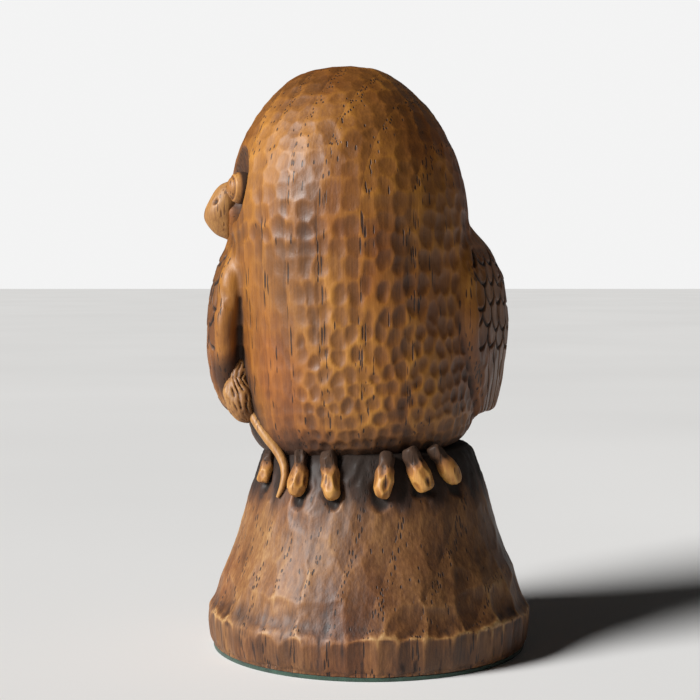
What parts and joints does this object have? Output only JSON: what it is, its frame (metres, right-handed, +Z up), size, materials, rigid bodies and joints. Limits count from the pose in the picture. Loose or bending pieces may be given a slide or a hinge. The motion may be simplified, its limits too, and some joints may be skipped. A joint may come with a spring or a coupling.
{
  "type": "carved owl figurine",
  "caption": "Carved wooden owl standing on a bell-shaped stump, head turned to one side, a mouse under one wing, felt underneath; stands on a shelf as an ornament.",
  "frame": {"origin": "centre of the round stump's plan, on the felt's underside", "axes": "+Z up through the stump and the owl, -Y the way the belly faces, -X the way the turned head and beak face"},
  "size_m": [0.085, 0.085, 0.15],
  "materials": {
    "felt": "matte dark green felt",
    "stump_wood": "dark brown stain under satin varnish",
    "body_wood": "brown stain under satin varnish, tops of the gouge cuts rubbed lighter",
    "wing_wood": "brown stain under satin varnish",
    "detail_wood": "brown stain under satin varnish",
    "eye_wood": "brown stain under satin varnish",
    "toe_wood": "rubbed light over brown stain",
    "peg_wood": "bare"
  },
  "bodies": {
    "root": {"felt_pad": "felt", "stump": "stump_wood", "owl_body": "body_wood", "left_wing": "wing_wood", "right_wing": "wing_wood", "left_eye": "eye_wood", "right_eye": "eye_wood", "beak": "detail_wood", "mouse_body": "detail_wood", "mouse_tail": "detail_wood", "right_foot_outer_toe": "toe_wood", "right_foot_middle_toe": "toe_wood", "right_foot_inner_toe": "toe_wood", "left_foot_inner_toe": "toe_wood", "left_foot_middle_toe": "toe_wood", "left_foot_outer_toe": "toe_wood", "body_pegs": "peg_wood", "left_wing_pegs": "peg_wood", "right_wing_pegs": "peg_wood"}
  },
  "joints": []
}
